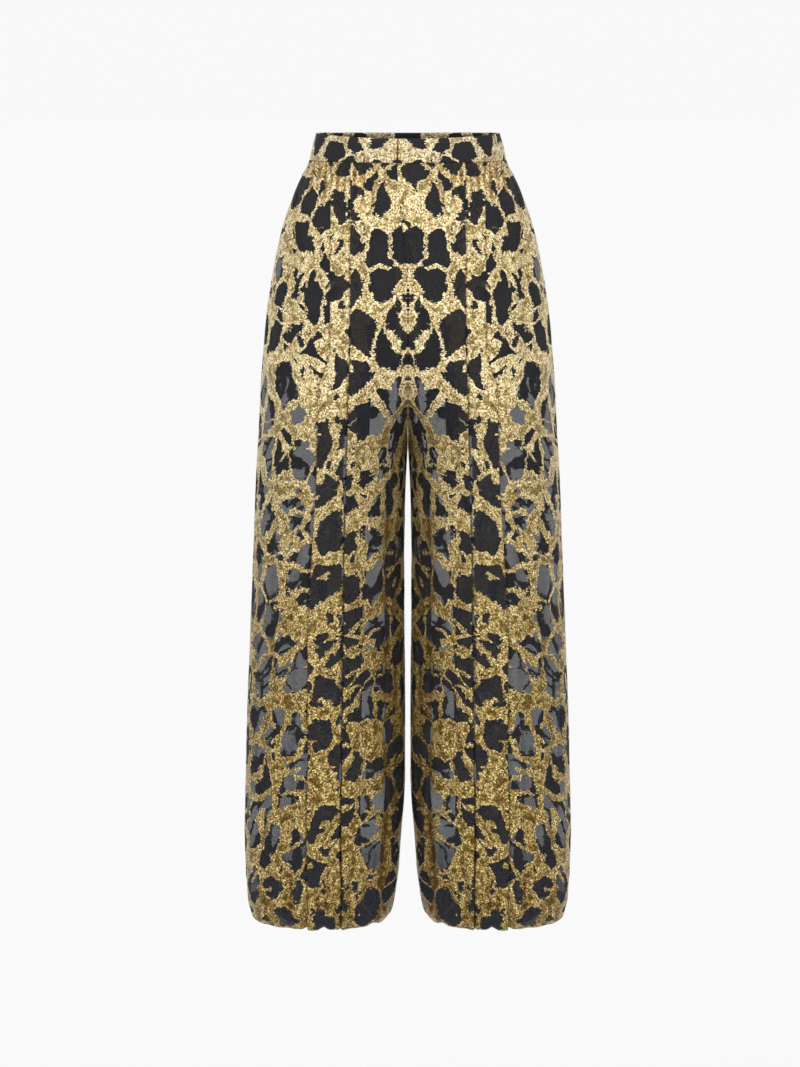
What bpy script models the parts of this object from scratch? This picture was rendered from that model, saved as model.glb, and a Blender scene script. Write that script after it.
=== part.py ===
# Harem pants: a high contoured waistband, a dropped crotch, and balloon legs whose hems turn under
# and are gathered to ankle bands inside. The cloth is sheer, over opaque lining shorts.
#
# Metres, +Z up. The front faces -Y, and the wearer's left side is at +X. The origin is the middle of
# the waist, at half the height of the waistband. Heights are given as drops below the top of the band.

import math
from collections import namedtuple

import bmesh
import bpy
from mathutils import Vector

MM = 0.001

# Cloth and seams, in millimetres
CLOTH = 1.0  # one layer of the sheer cloth
BAND_CLOTH = 2.2  # the waistband's outside, with its stiffener
FACING_CLOTH = 2.0  # the waistband's inside
LINING_CLOTH = 1.0
ANKLE_CLOTH = 1.5
LAYER_GAP = 0.6  # air between the layers of a pleat
SEAM_GAP = 0.3  # between two pieces that are sewn together

# Waistband, in millimetres
BAND_TOP_SIDE = 121.9  # half of the waist's width
BAND_TOP_DEPTH = 85.0
BAND_BOTTOM_SIDE = 130.6
BAND_BOTTOM_DEPTH = 92.5
BAND_HEIGHT = 35.7
BAND_FRONT_DIP = 4.5  # the front's top edge is lower than at the sides
BAND_BACK_DIP = 2.5
FACING_STEP = 0.6  # the facing stops this far below the band's top edge
ORIGIN_DROP = 18.0

# The fly's closing edge runs from the wearer's right of the centre down to the centre
FLY_OFFSET = 14.0
FLY_END = 215.0

# Lining shorts, in millimetres
LINING_HEM = 320.0
LINING_CROTCH = 312.0
LINING_CURVE_START = 215.0
LINING_EASE_TOP = 4.9  # how far inside the cloth it hangs, at the band and below the hip
LINING_EASE = 9.0
LINING_EASE_DROP = 110.0
LINING_DROPS = (36.0, 75.0, 130.0, 180.0, 222.0, 258.0, 286.0, 303.0, LINING_CROTCH, LINING_HEM)
LINING_LEG_GAPS = {LINING_CROTCH: 0.3, LINING_HEM: 3.0}  # inner x of the short legs

# Ankle bands
ANKLE_BAND_HEIGHT = 27.0
ANKLE_BAND_CELLS = 28

# How many cells the panels have between their seams and their pleats
CENTRE_CELLS = 4
FRONT_SIDE_CELLS = 7
BACK_SIDE_CELLS = 9
LINING_CELLS = 9

# The legs' sections, from the waistband to the lowest fold of the hem and up inside to the ankle band.
# side and inner are the outline's outer and inner x, front and back are half depths, and the two seam
# columns say how far the centre seams stand before and behind the crotch.
Section = namedtuple("Section", "drop side inner front back front_seam back_seam steps")
LEG_SECTIONS = (
    Section(36.0, 130.7, 0.0, 92.5, 92.5, 92.5, 92.5, 2),
    Section(75.0, 149.2, 0.0, 103.0, 110.0, 103.0, 110.0, 1),
    Section(130.0, 168.2, 0.0, 113.0, 125.0, 113.0, 125.0, 2),
    Section(222.0, 185.8, 0.0, 121.0, 134.0, 120.5, 133.5, 2),
    Section(318.0, 195.2, 0.0, 122.5, 132.0, 109.0, 118.0, 2),
    Section(368.0, 198.0, 0.0, 120.5, 128.5, 73.0, 78.0, 2),
    Section(402.0, 199.6, 0.0, 117.5, 124.0, 29.0, 31.0, 2),
    Section(419.0, 200.7, 0.3, 115.5, 121.0, 0.0, 0.0, 1),
    Section(442.0, 202.3, 1.6, 112.5, 117.0, 0.0, 0.0, 1),
    Section(505.0, 205.2, 4.0, 106.5, 110.0, 0.0, 0.0, 1),
    Section(630.0, 210.1, 4.7, 101.0, 104.0, 0.0, 0.0, 1),
    Section(760.0, 215.4, 3.4, 99.0, 101.5, 0.0, 0.0, 1),
    Section(876.0, 219.0, 4.0, 98.0, 100.0, 0.0, 0.0, 1),
    Section(950.0, 220.2, 9.0, 95.5, 97.0, 0.0, 0.0, 2),
    Section(1024.0, 216.6, 15.8, 88.0, 89.0, 0.0, 0.0, 1),
    Section(1045.0, 213.2, 19.8, 83.0, 84.0, 0.0, 0.0, 1),
    Section(1056.0, 209.8, 26.0, 77.0, 78.0, 0.0, 0.0, 1),
    Section(1062.0, 202.5, 35.0, 68.5, 69.0, 0.0, 0.0, 1),
    Section(1058.0, 191.0, 47.0, 58.0, 58.0, 0.0, 0.0, 1),
    Section(1048.0, 180.0, 58.5, 51.0, 51.0, 0.0, 0.0, 1),
    Section(1038.0, 175.2, 63.8, 48.6, 48.6, 0.0, 0.0, 1),
    Section(1032.0, 175.0, 64.0, 48.5, 48.5, 0.0, 0.0, 0),
)
HEM_DROP = max(section.drop for section in LEG_SECTIONS)

# Knife pleats: the x of the fold edges. The first pleat turns under by PLEAT_UNDERLAY, and the second
# one reaches back until it is clear of the first by PLEAT_CLEAR.
Pleats = namedtuple("Pleats", "drop first second", defaults=(None,))
FRONT_PLEATS = (
    Pleats(36.0, 74.0, 100.5),
    Pleats(285.0, 75.0, 101.0),
    Pleats(330.0, 76.5, 116.5),
    Pleats(436.0, 79.5, 118.5),
    Pleats(652.0, 84.0, 131.0),
    Pleats(897.0, 86.5, 132.5),
    Pleats(HEM_DROP, 87.0, 133.0),
)
BACK_PLEATS = (
    Pleats(36.0, 66.0),
    Pleats(330.0, 74.0),
    Pleats(652.0, 86.0),
    Pleats(HEM_DROP, 92.0),
)
PLEAT_UNDERLAY = 25.0
PLEAT_CLEAR = 5.5
PLEAT_RAMP = 8.0  # past the last fold edge the cloth comes back to the outside over this width
PLEAT_CELLS = 2

# Soft folds and gathers, in millimetres: a trough follows a line from one end to the other and fades
# at both ends. x is measured from the centre line, as the outline's is.
Fold = namedtuple("Fold", "x_top x_bottom drop_top drop_bottom width depth")
FRONT_FOLDS = (
    Fold(46.0, 48.0, 30.0, 108.0, 5.0, 1.6),
    Fold(24.0, 27.0, 425.0, 1090.0, 9.0, 4.0),
    Fold(56.0, 58.0, 520.0, 980.0, 13.0, 2.5),
    Fold(140.0, 146.0, 440.0, 620.0, 10.0, 2.0),
    Fold(160.0, 172.0, 540.0, 1000.0, 13.0, 4.5),
    Fold(186.0, 196.0, 610.0, 1010.0, 10.0, 3.5),
    Fold(36.0, 30.0, 970.0, 1120.0, 7.0, 5.0),
    Fold(50.0, 47.5, 1005.0, 1120.0, 6.0, 4.5),
    Fold(112.0, 114.5, 1000.0, 1120.0, 6.5, 5.0),
    Fold(163.0, 162.0, 985.0, 1120.0, 7.5, 6.0),
    Fold(188.0, 186.0, 1010.0, 1120.0, 6.5, 4.5),
)
BACK_FOLDS = (
    Fold(22.0, 26.0, 425.0, 1090.0, 9.0, 4.0),
    Fold(44.0, 52.0, 470.0, 940.0, 12.0, 4.0),
    Fold(118.0, 128.0, 300.0, 900.0, 14.0, 4.5),
    Fold(150.0, 164.0, 480.0, 1010.0, 12.0, 5.0),
    Fold(182.0, 192.0, 560.0, 980.0, 10.0, 3.5),
    Fold(44.0, 42.0, 985.0, 1120.0, 7.0, 5.5),
    Fold(118.0, 116.0, 975.0, 1120.0, 7.0, 5.0),
    Fold(146.0, 148.0, 1005.0, 1120.0, 6.5, 5.5),
    Fold(178.0, 176.0, 990.0, 1120.0, 7.0, 5.0),
)
FOLD_FADE = 4.0  # a fold reaches its full depth after a quarter of its length
GATHER_HEIGHT = 1.3  # every other column stands out this far under the waistband
GATHER_LENGTH = 55.0
GATHERED_COLUMNS = 8  # counted from the side seam

# Waistband pieces, from the wearer's right seam round the front: where each one ends, in degrees
BandPiece = namedtuple("BandPiece", "name end cells")
FLY_ANGLE = math.degrees(math.acos(FLY_OFFSET / BAND_BOTTOM_SIDE))
BAND_PIECES = (
    BandPiece("front_right", FLY_ANGLE, 12),
    BandPiece("front_left", 180.0, 14),
    BandPiece("back", 360.0, 26),
)

# Colours from the photo, with roughness and metallic
GOLD_CLOTH = ((0.42, 0.31, 0.12), 0.45, 0.6)
BLACK_LINING = ((0.03, 0.03, 0.035), 0.7, 0.0)
SHARP_EDGE = 50.0  # degrees, over which two faces meet in an edge

ANGLE_STEP = 0.01  # radians, for reading a surface's direction

# One column of a panel: its angle round the leg, how deep the outer and inner faces lie under the
# panel's surface, and how far each is moved round the leg, in millimetres.
Column = namedtuple("Column", "angle outer inner outer_shift inner_shift")


def blend(a, b, t):
    return a + (b - a) * t


def ease(t):
    t = min(max(t, 0.0), 1.0)
    return t * t * (3.0 - 2.0 * t)


def read_table(table, drop, column):
    """A column's value at a drop, straight between the rows."""
    for above, below in zip(table, table[1:]):
        if drop <= below.drop:
            t = (drop - above.drop) / (below.drop - above.drop)
            return blend(getattr(above, column), getattr(below, column), max(t, 0.0))
    return getattr(table[-1], column)


def smooth_sections(table):
    """The table's sections with the steps between them, on smooth curves through the rows."""
    along = [0.0]
    for above, below in zip(table, table[1:]):
        step = math.hypot(below.drop - above.drop, below.side - above.side)
        along.append(along[-1] + step)

    def slope(row, column):
        low, high = max(row - 1, 0), min(row + 1, len(table) - 1)
        rise = getattr(table[high], column) - getattr(table[low], column)
        return rise / (along[high] - along[low])

    sections = []
    for row, (above, below) in enumerate(zip(table, table[1:])):
        length = along[row + 1] - along[row]
        for step in range(above.steps):
            t = step / above.steps
            values = []
            for column in Section._fields[:-1]:
                start, end = getattr(above, column), getattr(below, column)
                start_slope, end_slope = slope(row, column), slope(row + 1, column)
                if start == end or min(start, end) == 0.0:
                    start_slope = end_slope = (end - start) / length
                values.append(
                    (2 * t**3 - 3 * t**2 + 1) * start
                    + (t**3 - 2 * t**2 + t) * length * start_slope
                    + (3 * t**2 - 2 * t**3) * end
                    + (t**3 - t**2) * length * end_slope
                )
            sections.append(Section(*values, 0))
    sections.append(table[-1])
    return sections


class HalfLoop:
    """The front or back half of one section: an arc from the centre or inner seam to the side."""

    def __init__(self, section, front):
        self.section = section
        self.depth = section.front if front else section.back
        self.toward = -1.0 if front else 1.0
        seam = min(section.front_seam if front else section.back_seam, self.depth)
        opening = math.sqrt(1.0 - (seam / self.depth) ** 2)
        self.half = (section.side - section.inner) / (1.0 + opening)
        self.centre = section.side - self.half

    def angle_at(self, x):
        return math.acos(min(max((self.centre - x) / self.half, -1.0), 1.0))

    def x_at(self, angle):
        return self.centre - self.half * math.cos(angle)

    def seam_angles(self, edge_x):
        """Where the half starts and ends, half a seam's gap from its neighbours."""
        gap = math.asin(SEAM_GAP / 2 / self.depth)
        return max(self.angle_at(edge_x), gap), math.pi - gap

    def angle_of(self, width):
        return width / max(self.half, self.depth)

    def point(self, angle):
        y = self.toward * self.depth * math.sin(angle)
        return Vector((self.x_at(angle), y, -self.section.drop))


def surface_normal(loops, row, angle):
    """The direction out of the cloth's outer face, from its neighbours round and along the leg."""
    before, after = loops[max(row - 1, 0)], loops[min(row + 1, len(loops) - 1)]
    along = after.point(angle) - before.point(angle)
    around = loops[row].point(angle + ANGLE_STEP) - loops[row].point(angle - ANGLE_STEP)
    return along.cross(around).normalized() * -loops[row].toward


def fold_depth(folds, x, drop):
    depth = 0.0
    for fold in folds:
        t = (drop - fold.drop_top) / (fold.drop_bottom - fold.drop_top)
        if 0.0 < t < 1.0:
            line = blend(fold.x_top, fold.x_bottom, t)
            fade = ease(FOLD_FADE * t) * ease(FOLD_FADE * (1.0 - t))
            depth += fold.depth * fade * math.exp(-(((x - line) / fold.width) ** 2))
    return depth


def flat_columns(start, end, cells):
    return [Column(blend(start, end, i / cells), 0.0, CLOTH, 0.0, 0.0) for i in range(cells)]


def pleat_columns(start, edge):
    """A knife pleat: out to the fold edge, back under it, and out again beneath both."""
    middle = 2 * CLOTH + LAYER_GAP
    under = middle + LAYER_GAP
    stops = [blend(start, edge, i / PLEAT_CELLS) for i in range(PLEAT_CELLS + 1)]
    columns = [Column(a, 0.0, CLOTH, 0.0, 0.0) for a in stops[:-1]]
    columns.append(Column(edge, 0.0, CLOTH, 0.0, -CLOTH))
    columns.append(Column(edge, middle, middle - CLOTH, 0.0, -CLOTH))
    columns += [Column(a, middle, middle - CLOTH, 0.0, 0.0) for a in reversed(stops[1:-1])]
    columns.append(Column(start, middle, middle - CLOTH, CLOTH, 0.0))
    columns.append(Column(start, under, under + CLOTH, CLOTH, 0.0))
    columns += [Column(a, under, under + CLOTH, 0.0, 0.0) for a in stops[1:]]
    return columns


def panel_columns(loop, drop, edge_x, front):
    """One row of a leg panel: the pleats between flat stretches, from the centre to the side seam."""
    start, end = loop.seam_angles(edge_x)
    pleats = FRONT_PLEATS if front else BACK_PLEATS
    edges = [read_table(pleats, drop, "first")]
    starts = [edges[0] - PLEAT_UNDERLAY]
    if front:
        starts.append(edges[0] + PLEAT_CLEAR)
        edges.append(read_table(pleats, drop, "second"))
    columns = flat_columns(start, loop.angle_at(starts[0]), CENTRE_CELLS)
    for pleat_start, pleat_edge in zip(starts, edges):
        columns += pleat_columns(loop.angle_at(pleat_start), loop.angle_at(pleat_edge))
    cells = FRONT_SIDE_CELLS if front else BACK_SIDE_CELLS
    columns += flat_columns(loop.angle_at(edges[-1] + PLEAT_RAMP), end, cells)
    columns.append(Column(end, 0.0, CLOTH, 0.0, 0.0))
    return columns


def fly_edge(drop, side):
    """The x of the front's centre edge, which the fly carries to the wearer's right."""
    offset = FLY_OFFSET * (1.0 - ease((drop - BAND_HEIGHT) / (FLY_END - BAND_HEIGHT)))
    return -side * offset


def panel_faces(side, front):
    """The outer and inner points of one leg panel, row by row."""
    sections = smooth_sections(LEG_SECTIONS)
    loops = [HalfLoop(section, front) for section in sections]
    lowest = max(range(len(sections)), key=lambda i: sections[i].drop)
    folds = FRONT_FOLDS if front else BACK_FOLDS
    outer_rows, inner_rows, columns = [], [], []
    for row, loop in enumerate(loops):
        section = loop.section
        if row <= lowest:
            edge_x = max(section.inner, SEAM_GAP / 2)
            if front and section.drop < FLY_END:
                edge_x += fly_edge(section.drop, side)
            columns = panel_columns(loop, section.drop, edge_x, front)
            places = [loop.x_at(column.angle) for column in columns]
        fold_drop = section.drop if row <= lowest else 2 * HEM_DROP - section.drop
        gather_fade = 1.0 - ease((section.drop - LEG_SECTIONS[0].drop) / GATHER_LENGTH)
        outer_row, inner_row = [], []
        for number, (column, x) in enumerate(zip(columns, places)):
            out = surface_normal(loops, row, column.angle)
            lift = -fold_depth(folds, x, fold_drop)
            from_side = len(columns) - number
            if from_side % 2 == 0 and from_side < GATHERED_COLUMNS:
                lift += GATHER_HEIGHT * gather_fade
            outer = loop.point(column.angle + loop.angle_of(column.outer_shift))
            inner = loop.point(column.angle + loop.angle_of(column.inner_shift))
            outer_row.append(outer + out * (lift - column.outer))
            inner_row.append(inner + out * (lift - column.inner))
        outer_rows.append(outer_row)
        inner_rows.append(inner_row)
    return outer_rows, inner_rows


def lining_faces(front):
    """One quarter of the lining shorts, on the cloth's own sections moved in."""
    loops = []
    for drop in LINING_DROPS:
        room = ease((drop - BAND_HEIGHT) / LINING_EASE_DROP)
        room = blend(LINING_EASE_TOP, LINING_EASE, room)
        curve = (drop - LINING_CURVE_START) / (LINING_CROTCH - LINING_CURVE_START)
        closing = math.sqrt(max(1.0 - max(curve, 0.0) ** 2, 0.0))
        slimmer = math.sqrt(1.0 / (1.0 + math.sqrt(1.0 - closing**2)))
        side = read_table(LEG_SECTIONS, drop, "side") - room
        depths = [read_table(LEG_SECTIONS, drop, name) - room for name in ("front", "back")]
        depths = [depth * slimmer for depth in depths]
        inner = LINING_LEG_GAPS.get(drop, 0.0)
        section = Section(drop, side, inner, *depths, *[d * closing for d in depths], 0)
        loops.append(HalfLoop(section, front))
    outer_rows, inner_rows = [], []
    for row, loop in enumerate(loops):
        start, end = loop.seam_angles(max(loop.section.inner, SEAM_GAP / 2))
        angles = [blend(start, end, i / LINING_CELLS) for i in range(LINING_CELLS + 1)]
        outer_rows.append([loop.point(a) for a in angles])
        inner_rows.append(
            [loop.point(a) - surface_normal(loops, row, a) * LINING_CLOTH for a in angles]
        )
    return outer_rows, inner_rows


def band_faces(start, end, depth_in, thickness, step, cells):
    """A stretch of the waistband between two angles; 0 is at -X, and the front is at 90 degrees."""
    outer_rows, inner_rows = [], []
    for bottom in (False, True):
        outer_row, inner_row = [], []
        for i in range(cells + 1):
            angle = blend(start, end, i / cells)
            forward = math.sin(angle)
            dip = (BAND_FRONT_DIP if forward > 0 else BAND_BACK_DIP) * forward**2
            drop = BAND_HEIGHT if bottom else dip + step
            down = drop / BAND_HEIGHT
            side = blend(BAND_TOP_SIDE, BAND_BOTTOM_SIDE, down)
            depth = blend(BAND_TOP_DEPTH, BAND_BOTTOM_DEPTH, down)
            point = Vector((-side * math.cos(angle), -depth * forward, -drop))
            out = Vector((-depth * math.cos(angle), -side * forward, 0.0)).normalized()
            outer_row.append(point - out * depth_in)
            inner_row.append(point - out * (depth_in + thickness))
        outer_rows.append(outer_row)
        inner_rows.append(inner_row)
    return outer_rows, inner_rows


def ankle_band_faces():
    """The band inside the hem, going on upwards from where the cloth ends."""
    last = LEG_SECTIONS[-1]
    half = (last.side - last.inner) / 2
    centre = (last.side + last.inner) / 2
    outer_rows, inner_rows = [], []
    for drop in (last.drop - SEAM_GAP, last.drop - SEAM_GAP - ANKLE_BAND_HEIGHT):
        rows = []
        for more in (ANKLE_CLOTH, 0.0):
            row = []
            for i in range(ANKLE_BAND_CELLS):
                angle = 2 * math.pi * i / ANKLE_BAND_CELLS
                x = centre + (half + more) * math.cos(angle)
                row.append(Vector((x, (last.front + more) * math.sin(angle), -drop)))
            rows.append(row)
        outer_rows.append(rows[0])
        inner_rows.append(rows[1])
    return outer_rows, inner_rows


def cloth_wall(name, faces, finish, closed=False, mirror=False):
    """A wall between an outer and an inner grid of points, with its edges closed."""
    sign = -1.0 if mirror else 1.0
    mesh_maker = bmesh.new()
    grids = []
    for rows in faces:
        grid = []
        for row in rows:
            corners = [Vector((p.x * sign, p.y, p.z + ORIGIN_DROP)) * MM for p in row]
            grid.append([mesh_maker.verts.new(corner) for corner in corners])
        grids.append(grid)
    outer, inner = grids
    last, width = len(outer) - 1, len(outer[0])
    around = [(i, (i + 1) % width) for i in range(width if closed else width - 1)]
    quads = []
    for j in range(last):
        for i, k in around:
            quads.append((outer[j][i], outer[j][k], outer[j + 1][k], outer[j + 1][i]))
            quads.append((inner[j][i], inner[j + 1][i], inner[j + 1][k], inner[j][k]))
        if not closed:
            quads.append((outer[j][0], outer[j + 1][0], inner[j + 1][0], inner[j][0]))
            quads.append((outer[j + 1][-1], outer[j][-1], inner[j][-1], inner[j + 1][-1]))
    for i, k in around:
        quads.append((outer[0][k], outer[0][i], inner[0][i], inner[0][k]))
        quads.append((outer[last][i], outer[last][k], inner[last][k], inner[last][i]))
    for corners in quads:
        mesh_maker.faces.new(corners)
    bmesh.ops.triangulate(mesh_maker, faces=mesh_maker.faces, quad_method="FIXED")
    bmesh.ops.recalc_face_normals(mesh_maker, faces=mesh_maker.faces)
    mesh = bpy.data.meshes.new(name)
    mesh_maker.to_mesh(mesh)
    mesh_maker.free()
    mesh.shade_smooth()
    mesh.set_sharp_from_angle(angle=math.radians(SHARP_EDGE))
    mesh.materials.append(principled(f"{name}_cloth", finish))
    collection.objects.link(bpy.data.objects.new(name, mesh))


def principled(name, finish):
    colour, roughness, metallic = finish
    look = bpy.data.materials.new(name)
    look.use_nodes = True
    shader = look.node_tree.nodes["Principled BSDF"]
    shader.inputs["Base Color"].default_value = (*colour, 1.0)
    shader.inputs["Roughness"].default_value = roughness
    shader.inputs["Metallic"].default_value = metallic
    return look


for leftover in list(bpy.data.objects):
    bpy.data.objects.remove(leftover)
collection = bpy.data.collections.new("harem_pants")
bpy.context.scene.collection.children.link(collection)

# Leg panels, lining shorts and ankle bands, the wearer's left side first
for side_name, side in (("left", 1), ("right", -1)):
    mirrored = side < 0
    for face_name in ("front", "back"):
        front = face_name == "front"
        panel = panel_faces(side, front)
        cloth_wall(f"{face_name}_{side_name}", panel, GOLD_CLOTH, mirror=mirrored)
        shorts = lining_faces(front)
        cloth_wall(f"lining_{face_name}_{side_name}", shorts, BLACK_LINING, mirror=mirrored)
    ankle_band = ankle_band_faces()
    cloth_wall(f"ankle_band_{side_name}", ankle_band, GOLD_CLOTH, closed=True, mirror=mirrored)

# Waistband: the front's two pieces meet at the fly's edge, and the back is one piece
band_gap = SEAM_GAP / 2 / BAND_TOP_DEPTH
start = 0.0
for piece in BAND_PIECES:
    end = math.radians(piece.end)
    span = (start + band_gap, end - band_gap)
    outside = band_faces(*span, 0.0, BAND_CLOTH, 0.0, piece.cells)
    cloth_wall(f"waistband_{piece.name}", outside, GOLD_CLOTH)
    facing_depth = BAND_CLOTH + SEAM_GAP
    inside = band_faces(*span, facing_depth, FACING_CLOTH, FACING_STEP, piece.cells)
    cloth_wall(f"waistband_facing_{piece.name}", inside, GOLD_CLOTH)
    start = end
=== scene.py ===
import math

import bmesh
import bpy
import numpy as np
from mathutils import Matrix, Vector, noise


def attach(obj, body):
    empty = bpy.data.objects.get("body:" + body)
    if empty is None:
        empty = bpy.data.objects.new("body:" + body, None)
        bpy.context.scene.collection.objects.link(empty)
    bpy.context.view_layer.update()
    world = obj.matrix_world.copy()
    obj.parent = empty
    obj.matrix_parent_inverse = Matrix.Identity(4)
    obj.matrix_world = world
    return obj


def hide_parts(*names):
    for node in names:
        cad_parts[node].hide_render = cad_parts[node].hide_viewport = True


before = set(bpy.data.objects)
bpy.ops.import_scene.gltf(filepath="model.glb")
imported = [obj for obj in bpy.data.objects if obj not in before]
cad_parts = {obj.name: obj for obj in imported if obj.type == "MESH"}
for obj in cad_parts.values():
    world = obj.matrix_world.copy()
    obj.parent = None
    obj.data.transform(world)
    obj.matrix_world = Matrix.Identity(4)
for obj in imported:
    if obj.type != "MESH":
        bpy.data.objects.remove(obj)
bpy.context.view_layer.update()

mm = 0.001
originDrop = 18.0  # the origin is this far under the waistband's top edge

# Sizes are in millimetres. A drop is a height under the top edge of the waistband; the wearer's left
# is +X and the front faces -Y. The rows run from the waistband down, under the hem and up inside it.
legShape = {
    "columns": ("drop", "side", "inner", "front", "back", "frontSeam", "backSeam"),
    "rows": (
        (36.0, 130.7, 0.0, 92.5, 92.5, 92.5, 92.5),
        (75.0, 149.2, 0.0, 103.0, 110.0, 103.0, 110.0),
        (130.0, 168.2, 0.0, 113.0, 125.0, 113.0, 125.0),
        (222.0, 185.8, 0.0, 121.0, 134.0, 120.5, 133.5),
        (318.0, 195.2, 0.0, 122.5, 132.0, 109.0, 118.0),
        (368.0, 198.0, 0.0, 120.5, 128.5, 73.0, 78.0),
        (402.0, 199.6, 0.0, 117.5, 124.0, 29.0, 31.0),
        (419.0, 200.7, 0.3, 115.5, 121.0, 0.0, 0.0),
        (442.0, 202.3, 1.6, 112.5, 117.0, 0.0, 0.0),
        (505.0, 205.2, 4.0, 106.5, 110.0, 0.0, 0.0),
        (630.0, 210.1, 4.7, 101.0, 104.0, 0.0, 0.0),
        (760.0, 215.4, 3.4, 99.0, 101.5, 0.0, 0.0),
        (876.0, 219.0, 4.0, 98.0, 100.0, 0.0, 0.0),
        (950.0, 220.2, 9.0, 95.5, 97.0, 0.0, 0.0),
        (1024.0, 216.6, 15.8, 88.0, 89.0, 0.0, 0.0),
        (1045.0, 213.2, 19.8, 83.0, 84.0, 0.0, 0.0),
        (1056.0, 209.8, 26.0, 77.0, 78.0, 0.0, 0.0),
        (1062.0, 202.5, 35.0, 68.5, 69.0, 0.0, 0.0),
        (1058.0, 191.0, 47.0, 58.0, 58.0, 0.0, 0.0),
        (1048.0, 180.0, 58.5, 51.0, 51.0, 0.0, 0.0),
        (1038.0, 175.2, 63.8, 48.6, 48.6, 0.0, 0.0),
        (1032.0, 175.0, 64.0, 48.5, 48.5, 0.0, 0.0),
    ),
    "rowSpacing": 5.4,
    "hemSpacing": 3.0,
    "hemStart": 940.0,
}

# What the leg panels are cut and folded to
cut = {
    "cloth": 0.45,  # thickness of the shell
    "seamGap": 0.25,  # from the seam's plane to the middle of the shell
    "outside": 0.25,  # depths under the solid's face: the shell, its turn at a seam, the allowance
    "seamTurn": 0.95,
    "inside": 1.9,
    "underlay": 25.0,
    "grain": 50.0,  # from the centre to where the first pleat starts
    "clear": 5.5,  # from the first pleat's edge to where the second one starts
    "ramp": 8.0,  # past the last pleat's edge the cloth comes back to the outside over this width
    "layer": 1.75,  # from one layer of a pleat to the next
    "openLayer": 2.1,  # the same lower down, where the pleats stand open
    "open": (300.0, 300.0),  # they open past this drop, over this length
    "edgeLift": 1.0,  # how far a pleat's edge stands up
    "closedLift": 0.35,  # the share of it where the pleats are closed
    "wander": (1.3, 1.5),  # how far the pleats' edges stray from straight
    "wanderLength": 70.0,
    "centreAllowance": 15.0,
    "innerAllowance": 21.0,
    "innerStart": (400.0, 60.0),  # the first of these changes to the second past this drop
    "sideAllowance": 11.0,
    "crotch": 415.0,
    "flyOffset": 14.0,
    "flyEnd": 215.0,
    "bandHeight": 35.7,
    "cells": {"allowance": 6, "centre": 24, "first": 8, "between": 3, "second": 10, "ramp": 4, "side": 4},
    "flatCells": {"front": 44, "back": 56},
    "seeds": {"front": 3.1, "back": 8.4},
    "flat": {"front": (0.54, 1.14), "back": (0.46, 1.14)},
    "area": {"front": 0.52, "back": 0.44},
    "frontPleats": (
        (36.0, 74.0, 100.5), (285.0, 75.0, 101.0), (330.0, 76.5, 116.5), (436.0, 79.5, 118.5),
        (652.0, 84.0, 131.0), (897.0, 86.5, 132.5), (1062.0, 87.0, 133.0),
    ),
    "backPleats": ((36.0, 66.0), (330.0, 74.0), (652.0, 86.0), (1062.0, 92.0)),
}

# Creases, one by one: x at the top and bottom, drop at the top and bottom, width, depth
frontCreases = (
    (46, 48, 24, 112, 4.4, 3.0), (16, 18, 24, 60, 3, 1.2), (30, 31, 24, 78, 3.2, 1.7),
    (58, 60, 22, 104, 3.6, 3.0), (68, 71, 24, 82, 2.8, 2.3), (82, 86, 22, 90, 3.0, 2.8),
    (92, 96, 22, 104, 3.2, 3.1), (99, 104, 24, 66, 2.6, 2.0), (107, 114, 22, 94, 3.2, 3.2),
    (115, 122, 24, 63, 2.8, 2.2), (121, 134, 22, 86, 3.2, 2.6), (126, 143, 24, 72, 2.8, 1.8),
    (141, 170, 58, 262, 1.6, 0.9), (170, 171, 250, 372, 1.6, 0.8),
    (148, 158, 120, 330, 9, 2.4), (120, 127, 150, 300, 8, 1.6), (30, 34, 190, 360, 9, 1.6),
    (24, 27, 425, 1090, 7, 5.0), (13, 15, 470, 1000, 4, 2.6), (38, 41, 560, 905, 5, 2.0),
    (56, 58, 520, 980, 12, 2.5), (70, 75, 450, 705, 6, 1.8), (100, 104, 560, 910, 6, 1.6),
    (140, 146, 440, 620, 5, 2.2), (152, 157, 690, 1010, 6, 2.4), (160, 172, 540, 1000, 12, 4.0),
    (178, 184, 455, 760, 6, 2.2), (186, 196, 610, 1010, 9, 3.5), (200, 207, 540, 910, 5, 2.2),
    (125, 129, 715, 1015, 5, 1.8), (143, 142, 452, 523, 1.8, 1.2),
    (20, 22, 985, 1112, 4.5, 3.4), (31, 28, 930, 1118, 4.6, 4.6), (41, 44, 1000, 1112, 3, 2.6),
    (54, 47.5, 968, 1120, 5.5, 4.6), (66, 62, 1002, 1112, 5, 2.8), (78, 79, 962, 1118, 4.2, 4.6),
    (97, 103, 1018, 1112, 4.2, 2.6), (108, 112, 968, 1120, 4.6, 4.0), (124, 116, 984, 1120, 5, 4.4),
    (137, 140, 1010, 1110, 6, 3.2), (157, 161, 958, 1120, 4.8, 5.2), (174, 172, 1022, 1112, 5, 2.4),
    (188, 183, 990, 1118, 6, 4.0), (202, 196, 1016, 1112, 5, 2.6),
)
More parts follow.
